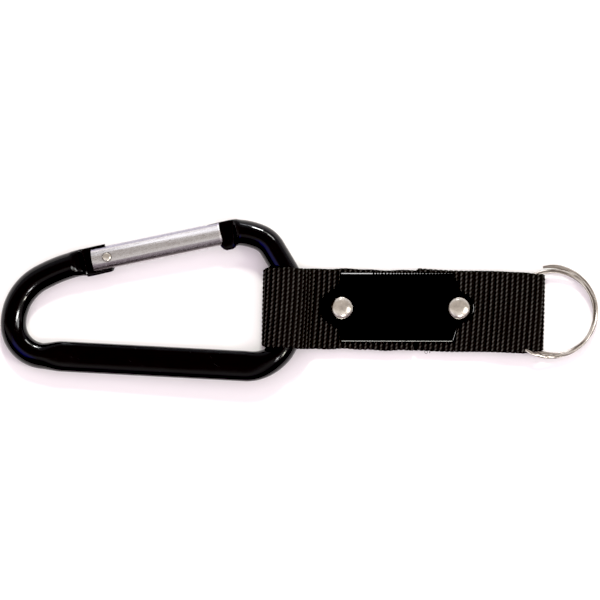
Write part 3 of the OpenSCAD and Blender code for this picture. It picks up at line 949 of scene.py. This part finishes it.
def plate_outline():
    """Points round the plate, anticlockwise from its lower left corner, about its own middle."""
    half = PLATE_W / 2
    low_x, high_x = (PLATE_LOW.x - PLATE_HIGH.x) / 2, (PLATE_HIGH.x - PLATE_LOW.x) / 2
    left, right = low_x + 5.1, high_x - 5.4
    points = [(left + 0.5, -half)]

    def curve(*handles):
        points.extend(bezier(points[-1], *handles, count=14)[1:].tolist())

    def straight(end):
        points.extend(np.linspace(points[-1], end, 40)[1:].tolist())

    # lower edge to the right end
    straight((right - 0.9, -half))
    curve((right - 0.4, -half), (right - 0.15, 0.2 - half), (right - 0.05, 0.8 - half))
    curve((right + 0.5, 3 - half), (right + 1.1, -5.0), (right + 2.2, -4.1))
    curve((right + 3.8, -3.3), (high_x, -2.4), (high_x, -0.1))
    curve((high_x, 2.2), (right + 3.9, 3.0), (right + 2.3, 3.9))
    curve((right + 1.0, 4.7), (right + 0.6, half - 3), (right + 0.1, half - 0.8))
    curve((right, half - 0.2), (right - 0.3, half), (right - 0.8, half))
    # upper edge and the left end
    straight((left + 0.5, half))
    curve((left + 0.1, half), (left, half - 0.1), (left, half - 0.5))
    curve((left, half - 2.2), (left - 0.1, 6.2), (left - 0.7, 5.6))
    curve((left - 2.6, 4.1), (low_x, 3.2), (low_x, 1.2))
    curve((low_x, -0.4), (low_x, -0.6), (low_x, -1.6))
    curve((low_x, -3.6), (left - 2.4, -4.2), (left - 0.6, -5.6))
    curve((left - 0.1, -6.1), (left + 0.1, -7), (left + 0.1, 0.5 - half))
    curve((left + 0.1, 0.1 - half), (left + 0.2, -half), (left + 0.5, -half))
    return clean_loop(points)


def clean_loop(points):
    """The loop without points that repeat."""
    gap, kept = 0.02, []
    for point in points:
        if not kept or math.dist(kept[-1], point) > gap:
            kept.append(point)
    if math.dist(kept[0], kept[-1]) <= gap:
        kept.pop()
    return np.array(kept)


def inset(loop, distance):
    """The loop moved inwards, for a loop that runs anticlockwise."""
    before, after = np.roll(loop, 1, axis=0), np.roll(loop, -1, axis=0)
    tangent = after - before
    tangent /= np.linalg.norm(tangent, axis=1)[:, None]
    moved = loop + distance * np.stack([-tangent[:, 1], tangent[:, 0]], axis=1)
    # points that fold over at a tight corner are drawn in to the ones beside them
    side = after - loop
    reach = moved[:, None, :] - loop[None, :, :]
    along = np.clip((reach * side).sum(axis=2) / (side ** 2).sum(axis=1), 0, 1)
    gap = np.linalg.norm(reach - along[:, :, None] * side, axis=2).min(axis=1)
    good = gap > 0.97 * distance - 0.001
    index = np.arange(len(loop))
    return np.stack([np.interp(index, index[good], moved[good, k], period=len(loop))
                     for k in (0, 1)], axis=1)


def make_plate():
    """The stamped plate with its rounded upper edge."""
    outline = plate_outline()
    base, top = PLATE_LOW.z, PLATE_HIGH.z
    edge_w, edge_h = 0.85, 0.5
    centre = middle_of("name_plate") + Vector((0, PLATE_RAISE, 0))
    c, s = math.cos(PLATE_TURN), math.sin(PLATE_TURN)
    levels = [(0.1, base), (0.0, base + 0.1), (0.0, top - edge_h)]
    levels += [(edge_w * (1 - math.cos(a)), top - edge_h * (1 - math.sin(a)))
               for a in np.radians(np.linspace(10, 90, 9))]
    # two more rings keep the flat top's shading apart from the edge's
    levels += [(edge_w + 0.03, top), (edge_w + 0.25, top)]
    rings = []
    for distance, height in levels:
        x, y = inset(outline, distance).T
        rings.append(np.stack([centre.x + x * c - y * s, centre.y + x * s + y * c,
                               np.full(len(x), height)], axis=1))
    piece = sweep("stamped_name_plate", rings, GLOSS_PLATE, sharp=35)
    paint(piece, "edge", np.repeat(np.arange(len(rings)) < len(rings) - 2, len(outline)))
    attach(piece, "strap")
    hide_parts("name_plate")


def rivet_seat(side):
    """Middle and radius of a rivet's cap."""
    low, high = box("rivet_cap_" + side)
    return (low.x + high.x) / 2, (low.y + high.y) / 2, (high.x - low.x) / 2


def make_rivet_cap(side):
    """A low dome on a hollow stem."""
    low, high = box("rivet_cap_" + side)
    x, y, cap_r = rivet_seat(side)
    base, top = PLATE_HIGH.z, high.z
    rim, lift = 0.3, 0.02
    stem_r, hole_r, axis_r = 1.4, 0.98, 0.02
    dome = [(cap_r * math.sin(a) ** 0.92, base + rim + (top - base - rim) * math.cos(a) ** 0.86)
            for a in np.linspace(0.004, math.pi / 2 - 0.02, 26)]
    profile = dome + [(cap_r, base + rim * 0.6), (cap_r - 0.12, base + lift),
                      (stem_r, base + lift), (stem_r, low.z), (hole_r, low.z),
                      (hole_r, top - 0.8), (axis_r, top - 0.8)]
    points, faces = lathe(profile, 72)
    piece = make_piece("rivet_dome_" + side, points + (x, y, 0), faces, NICKEL, sharp=40)
    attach(piece, "strap")
    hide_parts("rivet_cap_" + side)


def make_rivet_back(side):
    """A flat cap under the strap, with the post that fills the stem."""
    high = box("rivet_post_" + side)[1]
    x, y, cap_r = rivet_seat(side)
    cap_t = LOWER_LOW.z
    post_r, lift, axis_r = 0.95, 0.02, 0.02
    profile = [(axis_r, 0.12), (1.1, 0.05), (1.5, 0.0), (cap_r - 0.55, 0.0),
               (cap_r - 0.2, 0.12), (cap_r, 0.45), (cap_r - 0.02, cap_t - 0.2),
               (cap_r - 0.12, cap_t - lift), (post_r, cap_t - lift), (post_r, high.z - 0.15),
               (post_r - 0.15, high.z), (axis_r, high.z)]
    points, faces = lathe(profile, 64)
    piece = make_piece("rivet_back_" + side, points + (x, y, 0), flipped(faces), NICKEL, sharp=40)
    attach(piece, "strap")
    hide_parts("rivet_post_" + side)


# ---- Split ring ----

def make_split_ring():
    """One flat wire wound a little over one and a half times round, its ends sprung outwards."""
    wire_w, wire_t = 1.15, 0.94
    lower, upper = RING_CENTRE.z - 0.5, RING_CENTRE.z + 0.5
    # angle, radius of the wire's middle, height of its middle
    course = (
        (103, 12.5, lower), (85, 12.4, lower), (55, 12.1, lower), (25, 11.95, lower),
        (0, 11.85, lower), (-60, 11.55, lower),
        (-95, 11.35, lower), (-126, 11.35, lower), (-150, 11.6, lower), (-180, 11.7, RING_CENTRE.z),
        (-228, 11.4, upper), (-257, 11.15, upper), (-300, 11.3, upper), (-360, 11.5, upper),
        (-420, 11.75, upper), (-448, 11.95, upper + 0.1), (-470, 12.25, upper + 1.5),
        (-486, 12.5, upper + 2.05),
    )
    keys = np.array([(-angle, radius, height) for angle, radius, height in course])
    places = np.arange(keys[0, 0], keys[-1, 0] + 0.1, 1.5)
    path = np.stack([smooth_interp(places, keys[:, 0], keys[:, k]) for k in (1, 2)], axis=1)
    side, up = squarish(20, 3.2)
    # both ends are ground thinner
    to_end = np.minimum(places - places[0], places[-1] - places)
    taper = 0.55 + 0.45 * ease(to_end / 24) ** 0.5
    rings = []
    for angle, (radius, height), size in zip(np.radians(-places), path, taper):
        r = radius + wire_w / 2 * side * size
        x, y = RING_CENTRE.x + r * math.cos(angle), RING_CENTRE.y + r * math.sin(angle)
        rings.append(np.stack([x, y, height + wire_t / 2 * up * size], axis=1))
    piece = sweep("key_ring_wire", rings, RING_WIRE, sharp=60)
    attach(piece, "ring")
    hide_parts("split_ring")


def smooth_interp(places, keys, values):
    """Cubic interpolation with slopes from the neighbouring keys."""
    slopes = np.gradient(values, keys)
    spans = np.clip(np.searchsorted(keys, places, side="right") - 1, 0, len(keys) - 2)
    h = keys[spans + 1] - keys[spans]
    t = (places - keys[spans]) / h
    a, b = values[spans], values[spans + 1]
    m, n = slopes[spans] * h, slopes[spans + 1] * h
    return ((2 * t**3 - 3 * t**2 + 1) * a + (t**3 - 2 * t**2 + t) * m
            + (3 * t**2 - 2 * t**3) * b + (t**3 - t**2) * n)


# ---- Floor, light and camera ----

def make_floor():
    half = 3000
    points = [(-half, -half, 0), (half, -half, 0), (half, half, 0), (-half, half, 0)]
    floor = make_piece("floor", points, [(0, 1, 2, 3)], FLOOR)
    floor.location.z = -0.02 * MM


def aim(azimuth, tilt):
    """A direction; azimuth 0 is +X and 90 is +Y, tilt is from straight up."""
    a, t = math.radians(azimuth), math.radians(tilt)
    return Vector((math.sin(t) * math.cos(a), math.sin(t) * math.sin(a), math.cos(t)))


def lamp(name, azimuth, tilt, distance, size, radiance, colour, pieces=()):
    """A rectangular light facing the object's middle; size is (sideways, up and down).

    A lamp with pieces is only seen as a reflection, on those pieces alone.
    """
    place = aim(azimuth, tilt) * distance
    data = bpy.data.lights.new(name, "AREA")
    data.shape = "RECTANGLE"
    data.size, data.size_y = size[0] * MM, size[1] * MM
    data.energy = radiance * math.pi * data.size * data.size_y
    data.color = colour
    light = new_object(name, data)
    light.location = place * MM
    light.rotation_euler = place.to_track_quat("Z", "Y").to_euler()
    light.visible_camera = False
    light.visible_diffuse = not pieces
    light.visible_glossy = bool(pieces)
    if pieces:
        receivers = bpy.data.collections.new(name + "_pieces")
        for piece in pieces:
            receivers.objects.link(bpy.data.objects[piece])
        light.light_linking.receiver_collection = receivers


def make_world():
    """A pale room, dimmer in front of the object than overhead."""
    world = bpy.data.worlds.new("room")
    world.use_nodes = True
    tree = world.node_tree
    where = add_node(tree, "ShaderNodeTexCoord").outputs["Generated"]
    parts = add_node(tree, "ShaderNodeSeparateXYZ", Vector=where).outputs
    angle = maths(tree, "ARCTAN2", parts["Y"], parts["Z"])
    place = spread(tree, angle, -math.pi / 2, math.pi / 2, 0, 1)
    beige = (0.62, 0.57, 0.54)
    colour = ramp(tree, place, (0.0, (0.19, 0.15, 0.17)), (0.13, (0.28, 0.23, 0.26)),
                  (0.26, (0.52, 0.46, 0.49)), (0.33, (0.85, 0.81, 0.81)), (0.4, (1.1, 1.04, 1.0)),
                  (0.47, beige), (0.72, beige), (0.8, (0.78, 0.76, 0.77)))
    tree.links.new(colour, tree.nodes["Background"].inputs["Color"])
    bpy.context.scene.world = world


def make_lights():
    """Three lamps that light everything, then a few reflections for each bright or black piece."""
    far, near = 1500, 1200
    bar, plate = ["snap_hook_bar"], ["stamped_name_plate"]
    domes = ["rivet_dome_left", "rivet_dome_right", "gate_rivet_pin", "key_ring_wire"]
    lamp("key", 88, 42, far, (210, 210), 88, (0.96, 1.0, 0.86))
    lamp("fill", 0, 0.5, far, (1500, 1500), 1.65, (1.0, 0.825, 0.985))
    lamp("side", -12, 40, far, (300, 300), 16, (1.0, 1.0, 0.9))
    lamp("window", 102, 62, far, (900, 1200), 1.05, (0.95, 0.95, 1.0), ["gate_sleeve", "key_ring_wire"])
    lamp("gate_end", 8, 60, far, (400, 400), 4, (1, 1, 1), ["gate_sleeve"])
    lamp("plate_top", 90, 60, far, (500, 900), 45, (1, 1, 1), plate)
    lamp("plate_front", -90, 58, far, (900, 260), 85, (1, 1, 0.93), plate)
    lamp("plate_right", -2, 60, far, (800, 260), 45, (1, 1, 1), plate)
    lamp("bar_right", -14, 27, near, (130, 290), 60, (1.0, 0.99, 0.96), bar)
    lamp("bar_front", -60, 25, near, (60, 110), 80, (1.0, 1.0, 1.0), bar)
    lamp("bar_blue", -140, 41, near, (450, 600), 1.6, (0.05, 0.07, 1.0), bar)
    lamp("bar_nose", 76, 68, near, (190, 130), 90, (1, 1, 1), bar)
    lamp("bar_tail", 58, 64, near, (420, 110), 10, (1, 0.97, 0.92), bar)
    lamp("bar_bend_a", 0, 40, near, (240, 260), 14, (1, 1, 1), bar)
    lamp("bar_bend_b", 54, 60, near, (270, 130), 20, (1, 1, 1), bar)
    lamp("bar_bend_c", 84, 76, near, (300, 90), 14, (0.9, 0.93, 1), bar)
    lamp("bar_heel", -41, 37, near, (70, 200), 40, (1.0, 0.98, 0.85), bar)
    lamp("dome_right", -14, 38, near, (420, 520), 3.5, (1.0, 0.99, 0.97), domes)
    lamp("dome_front", -76, 43, near, (400, 330), 3.5, (1, 1, 1), domes)
    lamp("dome_behind", 97, 60, near, (220, 230), 3.5, (1, 1, 1), domes)
    lamp("dome_fill", -135, 52, near, (700, 500), 0.5, (0.85, 0.88, 1.0), domes)


def make_camera():
    """Straight above the object, and rolled a little."""
    width, height, focus = 162.16, 1500, 4.0
    sensor, roll = 36, 1.2
    data = bpy.data.cameras.new("camera")
    data.sensor_width = sensor
    data.lens = sensor * (height - focus) / width
    data.clip_end = 20
    camera = new_object("camera", data)
    camera.location = Vector((0.012, 0.5, height)) * MM
    camera.rotation_euler = (0, 0, math.radians(roll))
    bpy.context.scene.camera = camera


def set_view():
    """Plain colours, with the deepest shadows taken to black."""
    view = bpy.context.scene.view_settings
    view.view_transform = "Standard"
    view.use_curve_mapping = True
    view.curve_mapping.black_level = (0.016, 0.016, 0.016)


make_camera()
make_floor()
make_world()
make_body()
make_gate()
make_gate_rivet()
make_plunger()
make_spring()
make_strap()
make_threads()
make_plate()
for rivet_side in ("left", "right"):
    make_rivet_cap(rivet_side)
    make_rivet_back(rivet_side)
make_split_ring()
make_lights()
set_view()
